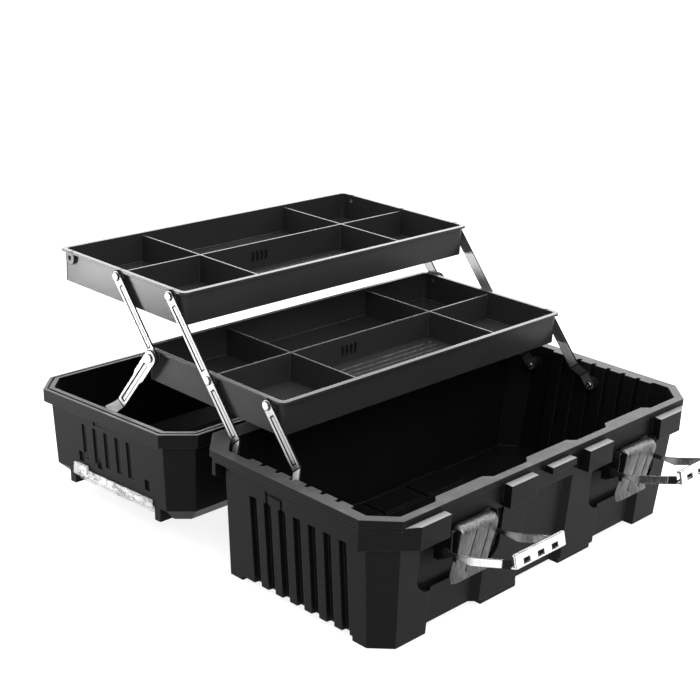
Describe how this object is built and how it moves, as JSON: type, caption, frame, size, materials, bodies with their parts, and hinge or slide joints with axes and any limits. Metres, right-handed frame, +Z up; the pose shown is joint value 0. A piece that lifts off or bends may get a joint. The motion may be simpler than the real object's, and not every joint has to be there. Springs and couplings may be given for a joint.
{
  "type": "cantilever tool case",
  "caption": "Plastic cantilever tool case standing open: fluted tub, swung-back lid and compartment trays on riveted steel links, with pressed-steel draw latches.",
  "frame": {"origin": "centre of the tub's flat underside", "axes": "+X along the case to its right end, +Y from the latches towards the hinge, +Z up"},
  "size_m": [0.5, 0.6073, 0.2625],
  "materials": {
    "black_plastic": "satin moulded polypropylene",
    "tray_plastic": "satin moulded polypropylene",
    "chrome_steel": "bright plated steel strip",
    "brushed_lever": "satin plated pressed steel",
    "plain_steel": "dark plated steel",
    "clear_plastic": "clear moulded styrene"
  },
  "bodies": {
    "base": {"base_shell": "black_plastic", "hinge_pins": "plain_steel", "base_rivets": "chrome_steel", "latch_bracket_left": "plain_steel", "latch_bracket_right": "plain_steel", "lever_pins": "plain_steel", "bail_studs": "plain_steel"},
    "lid": {"lid_shell": "black_plastic", "handle_pins": "plain_steel", "cover_pins": "plain_steel"},
    "long_bars": {"long_bar_left": "chrome_steel", "long_bar_right": "chrome_steel"},
    "front_bars": {"front_bar_left": "chrome_steel", "front_bar_right": "chrome_steel"},
    "lower_tray": {"lower_tray": "tray_plastic", "lower_tray_dividers": "tray_plastic", "lower_tray_rivets": "chrome_steel"},
    "upper_tray": {"upper_tray": "tray_plastic", "upper_tray_dividers": "tray_plastic", "upper_tray_rivets": "chrome_steel"},
    "upper_links": {"upper_link_left": "chrome_steel", "upper_link_right": "chrome_steel"},
    "lid_links": {"lid_link_left": "chrome_steel", "lid_link_right": "chrome_steel", "lid_link_studs": "chrome_steel"},
    "lever_left": {"latch_lever_left": "brushed_lever"},
    "lever_right": {"latch_lever_right": "brushed_lever"},
    "bail_left": {"latch_bail_left": "chrome_steel"},
    "bail_right": {"latch_bail_right": "chrome_steel"},
    "handle": {"carry_handle": "black_plastic"},
    "cover_left": {"organizer_cover_left": "clear_plastic"},
    "cover_right": {"organizer_cover_right": "clear_plastic"}
  },
  "joints": [
    {"name": "lid_hinge", "type": "hinge", "parent": "base", "child": "lid", "pos_m": [0, 0.1365, 0.1316], "axis": [1, 0, 0], "range_deg": [0, 183]},
    {"name": "long_bar_pivot", "type": "hinge", "parent": "base", "child": "long_bars", "pos_m": [0, 0.0802, 0.1148], "axis": [1, 0, 0], "range_deg": [0, 107.2]},
    {"name": "front_bar_pivot", "type": "hinge", "parent": "base", "child": "front_bars", "pos_m": [0, -0.0035, 0.1148], "axis": [1, 0, 0], "range_deg": [0, 107.2]},
    {"name": "lower_tray_pivot", "type": "hinge", "parent": "long_bars", "child": "lower_tray", "pos_m": [0, 0.13945, 0.18492], "axis": [-1, 0, 0], "range_deg": [0, 107.2]},
    {"name": "upper_tray_pivot", "type": "hinge", "parent": "long_bars", "child": "upper_tray", "pos_m": [0, 0.19871, 0.25503], "axis": [-1, 0, 0], "range_deg": [0, 107.2]},
    {"name": "upper_link_pivot", "type": "hinge", "parent": "lower_tray", "child": "upper_links", "pos_m": [0, 0.22315, 0.18492], "axis": [1, 0, 0], "range_deg": [0, 107.2]},
    {"name": "lid_link_pivot", "type": "hinge", "parent": "lower_tray", "child": "lid_links", "pos_m": [0, 0.22315, 0.18492], "axis": [1, 0, 0], "range_deg": [0, 230.9]},
    {"name": "lever_left_pivot", "type": "hinge", "parent": "base", "child": "lever_left", "pos_m": [-0.131, -0.128, 0.106], "axis": [-1, 0, 0], "range_deg": [0, 80]},
    {"name": "lever_right_pivot", "type": "hinge", "parent": "base", "child": "lever_right", "pos_m": [0.131, -0.128, 0.106], "axis": [-1, 0, 0], "range_deg": [0, 80]},
    {"name": "bail_left_pivot", "type": "hinge", "parent": "base", "child": "bail_left", "pos_m": [-0.131, -0.1275, 0.088], "axis": [-1, 0, 0], "range_deg": [-60, 75]},
    {"name": "bail_right_pivot", "type": "hinge", "parent": "base", "child": "bail_right", "pos_m": [0.131, -0.1275, 0.088], "axis": [-1, 0, 0], "range_deg": [-60, 75]},
    {"name": "handle_fold", "type": "hinge", "parent": "lid", "child": "handle", "pos_m": [0, 0.24497, 0.01356], "axis": [-1, 0, 0], "range_deg": [0, 90]},
    {"name": "cover_left_hinge", "type": "hinge", "parent": "lid", "child": "cover_left", "pos_m": [-0.22345, 0.18992, 0.02546], "axis": [-1, 0, 0], "range_deg": [0, 90]},
    {"name": "cover_right_hinge", "type": "hinge", "parent": "lid", "child": "cover_right", "pos_m": [0.22345, 0.18992, 0.02546], "axis": [-1, 0, 0], "range_deg": [0, 90]}
  ],
  "couplings": [
    {"joint": "long_bar_pivot", "follows": "lid_hinge", "ratio": 0.58579},
    {"joint": "front_bar_pivot", "follows": "lid_hinge", "ratio": 0.58579},
    {"joint": "lower_tray_pivot", "follows": "lid_hinge", "ratio": 0.58579},
    {"joint": "upper_tray_pivot", "follows": "lid_hinge", "ratio": 0.58579},
    {"joint": "upper_link_pivot", "follows": "lid_hinge", "ratio": 0.58579},
    {"joint": "lid_link_pivot", "follows": "lid_hinge", "ratio": 1.2617}
  ]
}
